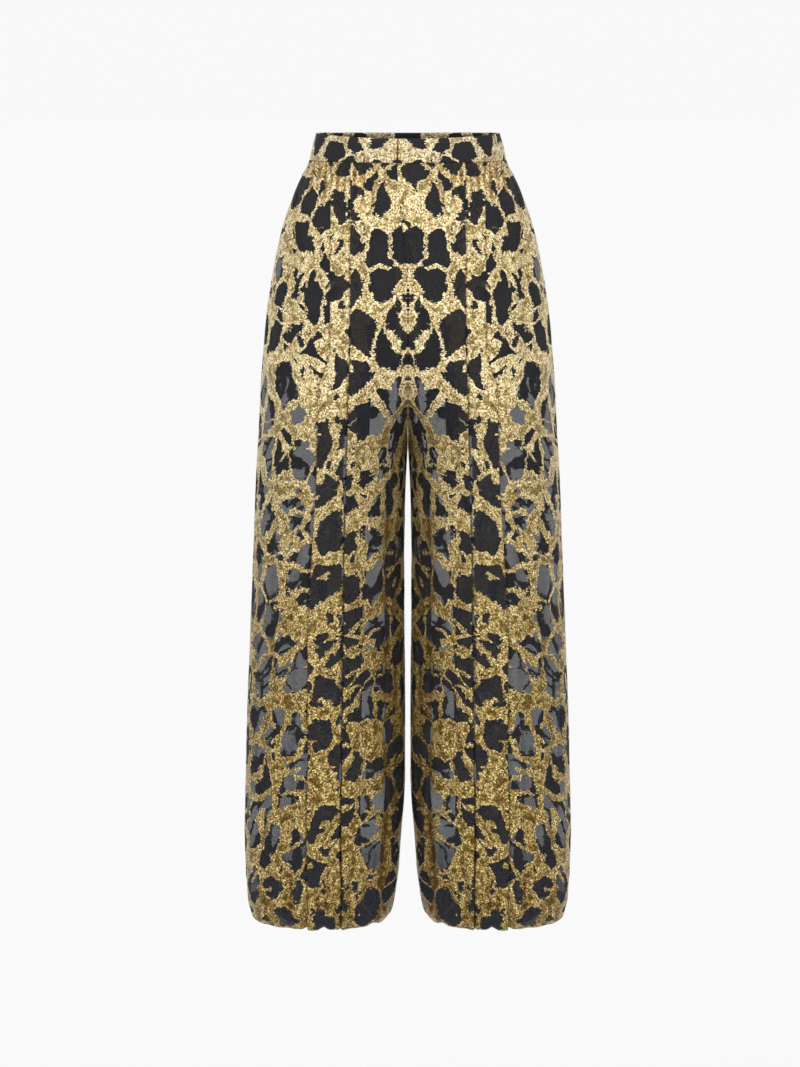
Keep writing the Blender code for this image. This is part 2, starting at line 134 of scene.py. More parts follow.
backCreases = (
    (10, 11, 24, 74, 3.2, 2.0), (22, 24, 22, 108, 3.6, 3.0), (33, 34, 24, 68, 2.8, 2.0),
    (43, 46, 22, 96, 3.4, 2.8), (53, 55, 24, 72, 2.8, 2.0), (64, 66, 22, 120, 3.8, 3.0),
    (74, 77, 24, 70, 2.8, 2.2), (83, 88, 22, 98, 3.4, 2.9), (93, 97, 24, 76, 3.0, 2.2),
    (101, 108, 22, 114, 3.6, 3.1), (110, 116, 24, 66, 2.8, 2.0), (118, 129, 22, 92, 3.3, 2.6),
    (125, 139, 24, 74, 2.8, 1.8), (40, 47, 150, 380, 9, 2.4), (100, 112, 120, 340, 10, 2.6),
    (140, 150, 160, 420, 9, 2.0), (22, 26, 425, 1090, 8, 4.5), (12, 14, 480, 980, 4, 2.2),
    (44, 52, 470, 940, 10, 4.0), (64, 70, 520, 800, 6, 2.0), (104, 112, 420, 700, 6, 2.2),
    (118, 128, 300, 900, 13, 4.5), (138, 146, 640, 1000, 6, 2.4), (150, 164, 480, 1010, 11, 5.0),
    (176, 180, 430, 700, 6, 2.2), (182, 192, 560, 980, 10, 3.5), (202, 208, 600, 960, 5, 2.0),
    (24, 26, 1000, 1112, 4, 3.0), (34, 33, 1018, 1112, 3.4, 2.4), (44, 42, 980, 1120, 6, 5.5),
    (57, 56, 1012, 1112, 4.2, 3.0), (70, 71, 1000, 1114, 4.6, 3.8), (84, 88, 1022, 1112, 3.6, 2.4),
    (98, 97, 990, 1116, 5, 4.4), (118, 116, 970, 1120, 6, 5.0), (131, 130, 1016, 1112, 4, 2.8),
    (146, 148, 1000, 1120, 5.5, 5.5), (160, 162, 1018, 1112, 4, 2.8), (178, 176, 985, 1120, 6, 5.0),
    (193, 190, 1010, 1112, 4.4, 3.2), (203, 199, 1020, 1112, 4, 2.6),
)
# Where the hem's lowest fold is drawn up: x, width, height
hemNotches = (
    (26, 5, 1.0), (46.5, 5, 2.6), (79, 8, 0.6), (113, 4.5, 4.4), (141, 10, 0.8), (162, 7, 1.0),
    (187, 9, 0.8),
)
# How much else the cloth folds, and how strong the painted shade is that darkens it. Pairs are a drop
# and the length past it over which something comes in or goes out.
folds = {
    "waveSize": (34.0, 60.0),  # across and down
    "gatherSize": (5.5, 21.0),
    "hipWaves": 0.45,
    "legWaves": 0.55,  # more than on the hips
    "legStart": (330.0, 200.0),
    "bandGathers": 1.2,
    "bandEnd": (40.0, 50.0),
    "hemGathers": 0.9,
    "hemStart": (950.0, 60.0),
    "topStart": (36.0, 10.0),  # the cloth is still at its two sewn ends
    "endLength": 12.0,
    "calm": 0.85,  # the lowest fold is smooth but for its notches
    "calmStart": (1034.0, 18.0),
    "calmEnd": (1064.0, 12.0),
    "notchStart": (1000.0, 55.0),
    "valleyShade": 0.48,  # the part of a crease's width that painted shade darkens
    "pleatShade": 0.48,
    "pleatShadeWidth": 2.8,
    "bandShade": 0.45,
    "bandShadeEnd": (36.0, 12.0),
    "gatherShade": 1.6,
    "hemGatherShade": 0.7,  # the share of it at the hem
    "innerShade": 0.9,
    "innerShadePlace": 18.3,  # from the inner seam
    "innerShadeWidth": 1.9,
}


def ease(t):
    t = np.clip(t, 0.0, 1.0)
    return t * t * (3.0 - 2.0 * t)


def easePast(drop, start):
    return ease((drop - start[0]) / start[1])


def readTable(table, drop, column):
    return np.interp(drop, [row[0] for row in table], [row[column] for row in table])


def legSections():
    # The table's rows with the steps between them, on smooth curves
    rows = np.array(legShape["rows"])
    lowest = int(np.argmax(rows[:, 0]))
    lengths = np.hypot(np.diff(rows[:, 0]), np.diff(rows[:, 1]))
    along = np.concatenate(([0.0], np.cumsum(lengths)))
    slopes = np.empty_like(rows)
    for k in range(len(rows)):
        low, high = max(k - 1, 0), min(k + 1, len(rows) - 1)
        slopes[k] = (rows[high] - rows[low]) / (along[high] - along[low])
    made, places = [], []
    for k, length in enumerate(lengths):
        fine = rows[k, 0] >= legShape["hemStart"] or k >= lowest
        steps = max(2, round(length / legShape["hemSpacing" if fine else "rowSpacing"]))
        start, end = rows[k], rows[k + 1]
        straight = (start == end) | (np.minimum(start, end) == 0.0)
        slopeStart = np.where(straight, (end - start) / length, slopes[k])
        slopeEnd = np.where(straight, (end - start) / length, slopes[k + 1])
        for t in np.arange(steps) / steps:
            made.append(
                (2 * t**3 - 3 * t**2 + 1) * start + (t**3 - 2 * t**2 + t) * length * slopeStart
                + (3 * t**2 - 2 * t**3) * end + (t**3 - t**2) * length * slopeEnd
            )
            places.append(along[k] + t * length)
    made.append(rows[-1])
    places.append(along[-1])
    sections = dict(zip(legShape["columns"], np.array(made).T))
    sections["along"] = np.array(places)
    return sections


class HalfTube:
    # The front or back of a leg: an arc in each row, from the centre or inner seam to the side
    def __init__(self, sections, front):
        self.drop = sections["drop"]
        self.depth = sections["front" if front else "back"]
        self.toward = -1.0 if front else 1.0
        seam = np.minimum(sections["frontSeam" if front else "backSeam"], self.depth)
        self.half = (sections["side"] - sections["inner"]) / (1 + np.sqrt(1 - (seam / self.depth) ** 2))
        self.centre = sections["side"] - self.half
        self.rows = np.arange(len(self.drop))

    def angleAt(self, x):
        return np.arccos(np.clip((self.centre - x) / self.half, -1.0, 1.0))

    def angleOf(self, width):
        return width / np.maximum(self.half, self.depth)

    def points(self, angles, rows=None):
        rows = self.rows if rows is None else rows
        half, centre, depth, drop = (
            values[rows][:, None] for values in (self.half, self.centre, self.depth, self.drop)
        )
        x = centre - half * np.cos(angles)
        y = self.toward * depth * np.sin(angles)
        return np.stack((x, y, -drop + 0.0 * angles), axis=-1)

    def outward(self, angles):
        after, before = np.minimum(self.rows + 1, self.rows[-1]), np.maximum(self.rows - 1, 0)
        along = self.points(angles, after) - self.points(angles, before)
        around = self.points(angles + 0.01) - self.points(angles - 0.01)
        out = np.cross(along, around) * -self.toward
        return out / np.linalg.norm(out, axis=-1, keepdims=True)


def creaseDepth(creases, x, drop):
    # How far the creases sink the cloth, and how much painted shade darkens their valleys, from 0 to 1
    depth, dark = np.zeros_like(x), np.zeros_like(x)
    for xTop, xBottom, dropTop, dropBottom, width, most in creases:
        t = (drop - dropTop) / (dropBottom - dropTop)
        line = xTop + (xBottom - xTop) * t
        fade = ease(4.0 * t) * ease(4.0 * (1.0 - t))
        depth += most * fade * np.exp(-(((x - line) / width) ** 2))
        valleyShade = np.exp(-(((x - line) / (folds["valleyShade"] * width)) ** 2))
        dark = np.maximum(dark, min(1.0, most / width) * fade * valleyShade)
    return depth, dark


def crumple(u, v, seed):
    # Small uneven waves, which no pressed cloth is free of, and the finer ones of gathered cloth
    waves, gathers = np.empty_like(u), np.empty_like(u)
    waveAcross, waveDown = folds["waveSize"]
    gatherAcross, gatherDown = folds["gatherSize"]
    for place in np.ndindex(u.shape):
        point = Vector((u[place] / waveAcross, v[place] / waveDown, seed))
        waves[place] = 0.75 * noise.noise(point) + 0.28 * noise.noise(point * 3.7)
        gathers[place] = noise.noise(Vector((u[place] / gatherAcross, v[place] / gatherDown, seed)))
    return waves, gathers


def flatAcross(base):
    # Distances across the cloth along each row of points
    steps = np.linalg.norm(np.diff(base, axis=1), axis=-1)
    return np.concatenate((np.zeros((len(base), 1)), np.cumsum(steps, axis=1)), axis=1)


def stretch(start, end, depthStart, depthEnd, cells):
    return [
        (start + (end - start) * i / cells, depthStart + (depthEnd - depthStart) * i / cells)
        for i in range(cells)
    ]


def turn(tube, edge, direction, depthStart, depthEnd):
    # Half a circle round a fold, from one layer to the next
    middle, radius = (depthStart + depthEnd) / 2, (depthEnd - depthStart) / 2
    places = []
    for degrees in (-90.0, -40.0, 0.0, 40.0):
        angle = math.radians(degrees)
        reach = tube.angleOf(np.abs(radius) * math.cos(angle))
        places.append((edge + direction * reach, middle + radius * math.sin(angle)))
    return places


def pleat(tube, start, edge, open_, cells):
    # One knife pleat's three layers as columns, and the depth of the undermost
    top = cut["outside"]
    layer = cut["layer"] + (cut["openLayer"] - cut["layer"]) * open_
    middle, under = top + layer, top + 2 * layer
    lifted = cut["edgeLift"] * (cut["closedLift"] + open_)
    columns = []
    for i in range(cells):
        t = i / cells
        columns.append((start + (edge - start) * t, top - lifted * ease(np.array(t)) ** 2))
    columns += turn(tube, edge, 1.0, top - lifted, middle)
    columns += stretch(edge, start, middle, middle, cells)
    columns += turn(tube, start, -1.0, middle, under)
    columns += stretch(start, edge, under, under, cells)
    return columns, under


def panelColumns(tube, sections, side, face, wave):
    # Columns of angle and depth from the centre or inner seam's allowance to the side seam's, the x of
    # the pleats' edges, and the column that the first pleat starts at
    drop, cells, edges = sections["drop"], cut["cells"], []
    outside, seamTurn, deepest = (cut[name] + 0.0 * drop for name in ("outside", "seamTurn", "inside"))
    fly = 0.0 * drop
    if face == "front":
        toFly = cut["flyEnd"] - cut["bandHeight"]
        fly = -side * cut["flyOffset"] * (1.0 - ease((drop - cut["bandHeight"]) / toFly))
    gap = np.arcsin(cut["seamGap"] / tube.depth)
    seamX = np.maximum(sections["inner"], cut["seamGap"]) + fly
    start = np.maximum(tube.angleAt(seamX), gap)
    end = math.pi - gap
    below = easePast(drop, cut["innerStart"])
    allowance = cut["centreAllowance"] * (1 - below) + cut["innerAllowance"] * below
    turnedIn = tube.angleAt(seamX) + tube.angleOf(allowance)
    turnedIn = np.where(drop > cut["crotch"], tube.angleAt(sections["inner"] + allowance), turnedIn)
    open_ = easePast(drop, cut["open"])
    pleats = cut[f"{face}Pleats"]

    columns = stretch(turnedIn, start, deepest, seamTurn, cells["allowance"])
    columns += turn(tube, start, 0.0, seamTurn, outside)
    edges.append(readTable(pleats, drop, 1) + cut["wander"][0] * wave)
    edge = tube.angleAt(edges[0])
    pleatStart = tube.angleAt(edges[0] - cut["underlay"])
    columns += stretch(start, pleatStart, outside, outside, cells["centre"])
    grainColumn = len(columns)
    foldColumns, under = pleat(tube, pleatStart, edge, open_, cells["first"])
    columns += foldColumns
    if face == "front":
        edges.append(readTable(pleats, drop, 2) + cut["wander"][1] * wave)
        pleatStart = tube.angleAt(edges[0] + cut["clear"])
        columns += stretch(edge, pleatStart, under, outside, cells["between"])
        edge = tube.angleAt(edges[1])
        foldColumns, under = pleat(tube, pleatStart, edge, open_, cells["second"])
        columns += foldColumns
    flatStart = tube.angleAt(edges[-1] + cut["ramp"])
    columns += stretch(edge, flatStart, under, outside, cells["ramp"])
    columns += stretch(flatStart, end, outside, outside, cut["flatCells"][face])
    columns += turn(tube, end, 0.0, outside, seamTurn)
    turnedIn = end - tube.angleOf(cut["sideAllowance"])
    columns += stretch(end, turnedIn, seamTurn, deepest, cells["side"])
    columns.append((turnedIn, deepest))
    return columns, edges, grainColumn


def panelGrid(side, face):
    # The middle of one leg panel's cloth, as rows of points with the cloth's own distances
    sections = legSections()
    tube = HalfTube(sections, face == "front")
    drop, along, seed = sections["drop"], sections["along"], cut["seeds"][face]
    lowest = int(np.argmax(drop))
    wave = np.array([noise.noise(Vector((d / cut["wanderLength"], seed, 0.3))) for d in drop])
    columns, edges, grainColumn = panelColumns(tube, sections, side, face, wave)
    angles, depths = (np.array([pair[k] + 0.0 * drop for pair in columns]).T for k in (0, 1))
    angles[lowest:] = angles[lowest]
    x = tube.centre[:, None] - tube.half[:, None] * np.cos(angles)
    x[lowest:] = x[lowest]
    foldDrop = np.where(np.arange(len(drop)) <= lowest, drop, 2 * drop[lowest] - drop)[:, None] + 0.0 * x
    base = tube.points(angles)
    u = flatAcross(base)
    # The straight grain follows the first pleat, and the centre and inner seams are cut across it
    u += cut["grain"] - u[:, [grainColumn]]
    v = np.repeat(along[:, None], u.shape[1], axis=1)

    # The creases sink the cloth, and their valleys get painted shade
    sink, dark = creaseDepth(frontCreases if face == "front" else backCreases, x, foldDrop)
    waves, gathers = crumple(u, v, seed)
    legWaves = folds["legWaves"] * easePast(drop, folds["legStart"])
    sink += waves * (folds["hipWaves"] + legWaves)[:, None]
    underBand = 1.0 - easePast(foldDrop, folds["bandEnd"])
    atHem = easePast(foldDrop, folds["hemStart"])
    sink += gathers * (folds["bandGathers"] * underBand + folds["hemGathers"] * atHem)
    settle = easePast(drop, folds["topStart"]) * ease((along[-1] - along) / folds["endLength"])
    calm = folds["calm"] * easePast(foldDrop, folds["calmStart"])
    settle = settle[:, None] * (1.0 - calm * (1.0 - easePast(foldDrop, folds["calmEnd"])))
    grid = base - tube.outward(angles) * (depths + sink * settle)[..., None]
    lift = sum(height * np.exp(-(((x - place) / width) ** 2)) for place, width, height in hemNotches)
    grid[..., 2] += lift * easePast(foldDrop, folds["notchStart"])

    # Painted shade beside the pleats' edges, under the band, in gathers and where the leg turns to its
    # inner seam, which darkens the gold's colour
    for edgeX in edges:
        past = x - edgeX[:, None]
        shade = folds["pleatShade"] * np.exp(-((past / folds["pleatShadeWidth"]) ** 2))
        dark = np.maximum(dark, shade * (past > 0.3))
    dark = np.maximum(dark, folds["bandShade"] * (1.0 - easePast(foldDrop, folds["bandShadeEnd"])))
    gathered = underBand + folds["hemGatherShade"] * atHem
    dark = np.maximum(dark, folds["gatherShade"] * np.clip(gathers, 0.0, None) * gathered)
    fromLine = x - sections["inner"][:, None] - folds["innerShadePlace"]
    shade = np.exp(-((fromLine / folds["innerShadeWidth"]) ** 2))
    below = easePast(drop, cut["innerStart"])[:, None]
    dark = np.maximum(dark, folds["innerShade"] * below * shade)
    return grid, u, v, np.clip(dark * (1.0 + 0.5 * gathers), 0.0, 1.0)


def clothObject(
    name, grid, u, v, thickness, materials, flip=False, mirrored=False, offset=0.0, closed=False, paintedShade=None,
):
    # A sheet through the grid's points, thickened, with its own flat distances as a UV map in metres.
    # A second material is for its inner face. The last argument is painted shade: how much each point's
    # colour is darkened, from 0 to 1.
    rows, columns = grid.shape[:2]
    points = grid.copy()
    points[..., 2] += originDrop
    if mirrored:
        points[..., 0] *= -1.0
        flip = not flip
    points = points.reshape(-1, 3) * mm
    faces = []
    across = columns if closed else columns - 1
    for r in range(rows - 1):
        for c in range(across):
            k = (c + 1) % columns
            corners = (r * columns + c, r * columns + k, (r + 1) * columns + k, (r + 1) * columns + c)
            faces.append(corners[::-1] if flip else corners)
    mesh = bpy.data.meshes.new(name)
    mesh.from_pydata(points.tolist(), [], faces)
    flat = np.stack((u.ravel(), v.ravel()), axis=1) * mm
    corner = np.empty(len(mesh.loops), dtype=np.int32)
    mesh.loops.foreach_get("vertex_index", corner)
    layer = mesh.uv_layers.new(name="cloth")
    layer.data.foreach_set("uv", flat[corner].astype(np.float32).ravel())
    # Kept as a point attribute, which the gold material reads as painted shade
    if paintedShade is not None:
        values = mesh.attributes.new("paintedShade", "FLOAT", "POINT").data
        values.foreach_set("value", paintedShade.astype(np.float32).ravel())
    for material in materials:
        mesh.materials.append(material)
    mesh.shade_smooth()
    piece = bpy.data.objects.new(name, mesh)
    bpy.context.scene.collection.objects.link(piece)
    wall = piece.modifiers.new("wall", "SOLIDIFY")
    wall.thickness = thickness * mm
    wall.offset = offset
    wall.material_offset = len(materials) - 1
    return piece


def applyModifiers(piece):
    bpy.context.view_layer.update()
    evaluated = piece.evaluated_get(bpy.context.evaluated_depsgraph_get())
    mesh = bpy.data.meshes.new_from_object(evaluated)
    piece.modifiers.clear()
    piece.data = mesh
    return piece


def flatArea(piece):
    return sum(face.area for face in piece.data.polygons) / 2


class Field:
    # A number that varies over the cloth: Python's operators on it add Math nodes
    def __init__(self, tree, socket):
        self.tree, self.socket = tree, socket

    def math(self, operation, *values):
        node = addNode(self.tree, "ShaderNodeMath", {"operation": operation}, dict(enumerate(values)))
        return Field(self.tree, node.outputs[0])

    def __add__(self, other):
        return self.math("ADD", self, other)

    __radd__ = __add__

    def __sub__(self, other):
        return self.math("SUBTRACT", self, other)

    def __rsub__(self, other):
        return self.math("SUBTRACT", other, self)

    def __mul__(self, other):
        return self.math("MULTIPLY", self, other)

    __rmul__ = __mul__

    def least(self, other):
        return self.math("MINIMUM", self, other)

    def most(self, other):
        return self.math("MAXIMUM", self, other)

    def rise(self, low, high, bottom=0.0, top=1.0):
        sockets = {"Value": self, "From Min": low, "From Max": high, "To Min": bottom, "To Max": top}
        node = addNode(self.tree, "ShaderNodeMapRange", {"interpolation_type": "SMOOTHSTEP"}, sockets)
        return Field(self.tree, node.outputs[0])


def addNode(tree, kind, settings=None, sockets=None):
    node = tree.nodes.new(kind)
    for name, value in (settings or {}).items():
        setattr(node, name, value)
    for name, value in (sockets or {}).items():
        if isinstance(value, Field):
            value = value.socket
        if isinstance(value, bpy.types.NodeSocket):
            # A link, where anything else is the socket's own value
            tree.links.new(value, node.inputs[name])
        else:
            node.inputs[name].default_value = value
    return node


def mixColours(tree, factor, first, second, blend="MIX"):
    sockets = {0: factor, 6: first, 7: second}
    return addNode(tree, "ShaderNodeMix", {"data_type": "RGBA", "blend_type": blend}, sockets).outputs[2]


def noiseField(tree, place, scale, detail=1.0, rough=0.5):
    sockets = {"Vector": place, "Scale": scale, "Detail": detail, "Roughness": rough}
    return addNode(tree, "ShaderNodeTexNoise", {"noise_dimensions": "2D"}, sockets)


def cellEdges(tree, place, size):
    # Millimetres to the nearest border between cells of about the given size
    settings = {"voronoi_dimensions": "2D", "feature": "DISTANCE_TO_EDGE"}
    sockets = {"Vector": place, "Scale": 1000.0 / size}
    node = addNode(tree, "ShaderNodeTexVoronoi", settings, sockets)
    return Field(tree, node.outputs["Distance"]) * size


def cellMiddles(tree, place, size):
    # Millimetres to the middle of the same cell
    sockets = {"Vector": place, "Scale": 1000.0 / size}
    node = addNode(tree, "ShaderNodeTexVoronoi", {"voronoi_dimensions": "2D"}, sockets)
    return Field(tree, node.outputs["Distance"]) * size


def planePoint(tree, x, y):
    return addNode(tree, "ShaderNodeCombineXYZ", {}, {0: x, 1: y}).outputs[0]


def turned(tree, place, degrees, scale):
    sockets = {"Vector": place, "Rotation": (0, 0, math.radians(degrees)), "Scale": (*scale, 1)}
    return addNode(tree, "ShaderNodeMapping", {}, sockets).outputs[0]


def moved(tree, place, by, amounts):
    sockets = {0: by, 1: (*amounts, 0), 2: place}
    return addNode(tree, "ShaderNodeVectorMath", {"operation": "MULTIPLY_ADD"}, sockets).outputs[0]


# Noises are in waves a metre, borders in millimetres and places down the cloth in metres. Four numbers
# are a rise: from and to on what it follows, and the values there.
crepe = {
    "broad": (20.0, (0.038, 0.038)),  # noises that bend the network, and how far, in metres
    "ragged": (150.0, (0.0060, 0.0050)),
    "yarn": (560.0, (0.0052, 0.0030)),
    "sizeNoise": 14.0,
    "choiceNoise": 26.0,
    "island": 42.0,  # size of the black islands
    "islandStretch": (1.12, 0.74),
    "islandReach": 23.0,  # gold further than this from an island's middle rounds its corners
    "hipBorder": 6.7,  # half the width of the gold between islands
    "legBorder": 3.3,
    "bandBorder": 4.4,
    "borderChange": (0.32, 0.68, 0.35, 1.95),
    "hemBorder": (0.90, 0.98, 1.0, 1.6),  # gathers bring the gold closer together there
    "speckle": 21.0,  # size of the small islands in wide gold
    "speckleTurn": -31,
    "speckleWeb": (0.54, 0.38, 11.0, 5.6),
    "legWeb": 1.6,  # wider by this on the legs
    "strand": 30.0,  # size of the net of thin strands on the legs
    "strandLean": (0.34, 0.19, 0.91, 0.48),
    "strandWidth": (0.44, 0.62, 0.0, 4.2),
    "strandThin": 1.6,  # narrower by this, so that some end
    "legTop": 0.28,  # where the legs' pattern starts
    "legOver": 0.12,
    "legLean": 0.24,  # how far the islands lean there, across for each part down
    "border": 0.35,  # over which gold turns to black
    "grain": (440.0, 2.0, 0.6),
    "wrongGrain": (240.0, 2.0, 0.6),
    "bead": 1.6,  # size of the crinkled gold's grains
    "beadMove": (0.003, 0.003),
    "crinkleGlints": (0.64, 0.25, 0.80),  # how much single beads, their shape and the grain change the tone: painted glints of the crumpled metal, with a painted highlight in each bead's middle, over the yarn's own mottled tone
    "tone": 0.67,  # place in the tones between the crinkles
    "smoothNoise": 75.0,
    "smooth": ((0.50, 0.60), (2.2, 4.0)),  # calmer patches, well inside the gold
    "smoothCalm": 0.5,
    "smoothTone": 0.17,
    # gold near its own edges is lighter: a painted highlight on its raised edges
    "rimHighlight": (0.5, 1.8, 0.07, 0.0),
    "legTonesFrom": ((0.315, 0.335, 0.0, 0.45), (0.34, 0.72, 0.0, 0.55)),
    "legBlackFrom": (0.26, 0.30),
    "metal": 0.62,
    "roughness": (0.72, 0.34),  # of the black, and how much less the gold has
    "hemAlphaFrom": (0.90, 0.99),
    "paintedShadeAlpha": 0.3,
    "bump": 0.0011,
    "hipTones": ((0.11, 0.07, 0.018), (0.55, 0.42, 0.18), (0.92, 0.76, 0.43), (1.0, 0.96, 0.80)),
    "legTones": ((0.06, 0.035, 0.005), (0.26, 0.17, 0.045), (0.54, 0.40, 0.135), (1.0, 0.88, 0.53)),
    "bandTones": ((0.17, 0.12, 0.05), (0.52, 0.41, 0.21), (0.80, 0.68, 0.43), (0.98, 0.90, 0.74)),
    "wrongTones": ((0.060, 0.042, 0.014), (0.130, 0.092, 0.032)),
    "toneStops": (0.42, 0.64, 0.85, 1.0),
    "paintedShadeTone": (0.40, 0.23, 0.06),
    "hipBlack": (0.0200, 0.0190, 0.0210),
    "legBlack": (0.0180, 0.0184, 0.0240),
    "bandBlack": (0.0125, 0.0110, 0.0125),
    "sheerAlpha": 0.40,  # of each face of the shell
    "hemAlpha": 0.62,
}


def goldNetwork(tree, place, down):
    # Millimetres inside the gold, less than nothing in the black islands
    onLeg, below = 0.0, 0.0
    if down is not None:
        onLeg = down.rise(crepe["legTop"], crepe["legTop"] + crepe["legOver"])
        below = (down - crepe["legTop"]).most(0.0)
    yarns = turned(tree, place, 0, (0.6, 1.0))
    warped = place
    for name, source, detail in (("broad", place, 2.0), ("ragged", place, 1.0), ("yarn", yarns, 0.0)):
        scale, amounts = crepe[name]
        warped = moved(tree, warped, noiseField(tree, source, scale, detail).outputs["Color"], amounts)
    split = addNode(tree, "ShaderNodeSeparateXYZ", {}, {0: warped})
    x, y = (Field(tree, socket) for socket in split.outputs[:2])
    size = Field(tree, noiseField(tree, place, crepe["sizeNoise"], 1.0).outputs["Fac"])
    askew = turned(tree, place, 70, (1, 1))
    choice = Field(tree, noiseField(tree, askew, crepe["choiceNoise"], 0.0).outputs["Fac"])

    stretchX, stretchY = crepe["islandStretch"]
    islands = planePoint(tree, x * stretchX - below * crepe["legLean"], y * stretchY)
    width = crepe["bandBorder"]
    if down is not None:
        width = crepe["hipBorder"] + (crepe["legBorder"] - crepe["hipBorder"]) * onLeg
        width = width * down.rise(*crepe["hemBorder"])
    gold = size.rise(*crepe["borderChange"]) * width - cellEdges(tree, islands, crepe["island"])
    gold = gold.most(cellMiddles(tree, islands, crepe["island"]) - crepe["islandReach"])
    speckles = cellEdges(tree, turned(tree, islands, crepe["speckleTurn"], (1, 1)), crepe["speckle"])
    gold = gold.least(choice.rise(*crepe["speckleWeb"]) + crepe["legWeb"] * onLeg - speckles)
    if down is None:
        return gold
    # Long thin strands, which run outwards as they go down the leg
    acrossX, acrossY, downY, downX = crepe["strandLean"]
    strandPlace = planePoint(tree, x * acrossX + y * acrossY, y * downY - x * downX)
    strands = cellEdges(tree, strandPlace, crepe["strand"])
    strandWidth = choice.rise(*crepe["strandWidth"]) * onLeg
    return gold.most(strandWidth - crepe["strandThin"] - strands)


def toneRamp(tree, glint, tones):
    ramp = addNode(tree, "ShaderNodeValToRGB", {}, {"Fac": glint})
    stops = ramp.color_ramp.elements
    stops[0].position, stops[1].position = crepe["toneStops"][0], crepe["toneStops"][-1]
    for position in crepe["toneStops"][1:-1]:
        stops.new(position)
    for stop, tone in zip(stops, tones):
        stop.color = (*tone, 1)
    return ramp.outputs["Color"]


def newMaterial(name, shift=(0.0, 0.0)):
    # With the place on the cloth, moved by shift, and how far down the cloth it is
    material = bpy.data.materials.new(name)
    material.use_nodes = True
    tree = material.node_tree
    flat = addNode(tree, "ShaderNodeUVMap", {"uv_map": "cloth"}).outputs[0]
    place = addNode(tree, "ShaderNodeMapping", {}, {"Vector": flat, "Location": (*shift, 0)}).outputs[0]
    down = Field(tree, addNode(tree, "ShaderNodeSeparateXYZ", {}, {0: flat}).outputs[1])
    return material, tree, tree.nodes["Principled BSDF"].inputs, place, down


def goldMaterial(name, tones, sheer=False, shift=(0.0, 0.0)):
    # One set of tones is used all over, or the second takes the first one's place down the leg
    material, tree, inputs, place, down = newMaterial(name, shift)
    depth = goldNetwork(tree, place, down if sheer else None)
    gold = depth.rise(-crepe["border"], crepe["border"])
    grain = Field(tree, noiseField(tree, place, *crepe["grain"]).outputs["Fac"])
    beadPlace = moved(tree, place, grain, crepe["beadMove"])
    sockets = {"Vector": beadPlace, "Scale": 1000.0 / crepe["bead"]}
    beads = addNode(tree, "ShaderNodeTexVoronoi", {"voronoi_dimensions": "2D"}, sockets)
    chance = Field(tree, beads.outputs["Color"])
    bead = 1.0 - Field(tree, beads.outputs["Distance"]) * 1.3
    patches = Field(tree, noiseField(tree, place, crepe["smoothNoise"], 1.0).outputs["Fac"])
    patchNoise, wellInside = crepe["smooth"]
    smooth = patches.rise(*patchNoise) * depth.rise(*wellInside)
    byChance, byBead, byGrain = crepe["crinkleGlints"]
    # The tones are partly the yarn's own mottling and partly painted glints: each bead gets a brightness of
    # its own, like a facet of crumpled foil catching the light, and a painted highlight in its middle; the
    # top tone is a painted sparkle
    crinkleGlints = (chance - 0.5) * byChance + (bead - 0.45) * byBead + (grain - 0.5) * byGrain
    glint = crinkleGlints * (1.0 - smooth * crepe["smoothCalm"]) + crepe["tone"]
    # A painted highlight along the gold's edges, and calmer, darker patches well inside it
    glint = glint + depth.rise(*crepe["rimHighlight"]) - smooth * crepe["smoothTone"]
    colours = [toneRamp(tree, glint, crepe[one]) for one in tones]
    goldColour = colours[0]
    if len(colours) > 1:
        quick, slow = (down.rise(*change) for change in crepe["legTonesFrom"])
        goldColour = mixColours(tree, quick + slow, *colours)
    # Painted shade: the attribute darkens the gold and turns it brown in creases and gathers, beside the
    # pleats' edges, under the band, at the inner seam and along the fly's edge
    paintedShade = Field(tree, addNode(tree, "ShaderNodeAttribute", {"attribute_name": "paintedShade"}).outputs["Fac"])
    goldColour = mixColours(tree, paintedShade, goldColour, (*crepe["paintedShadeTone"], 1), "MULTIPLY")
    black = (*crepe["bandBlack"], 1)
    if sheer:
        hipBlack, legBlack = (*crepe["hipBlack"], 1), (*crepe["legBlack"], 1)
        black = mixColours(tree, down.rise(*crepe["legBlackFrom"]), hipBlack, legBlack)
    tree.links.new(mixColours(tree, gold, black, goldColour), inputs["Base Color"])
    tree.links.new((gold * crepe["metal"]).socket, inputs["Metallic"])
    blackRoughness, smoother = crepe["roughness"]
    tree.links.new((blackRoughness - gold * smoother).socket, inputs["Roughness"])
    if sheer:
        # The crepe's threads lie closer where the hem is gathered, and the painted shade makes the crepe
        # less see-through, which darkens it where shade falls
        alpha = down.rise(*crepe["hemAlphaFrom"], crepe["sheerAlpha"], crepe["hemAlpha"])
        alpha = alpha + paintedShade * crepe["paintedShadeAlpha"]
        tree.links.new((alpha + (1.0 - alpha) * gold).socket, inputs["Alpha"])
    height = bead * 0.4 + grain * 0.6
    sockets = {"Height": height, "Strength": gold * 0.9, "Distance": crepe["bump"]}
    tree.links.new(addNode(tree, "ShaderNodeBump", {}, sockets).outputs[0], inputs["Normal"])
    inputs["Specular IOR Level"].default_value = 0.2
    return material


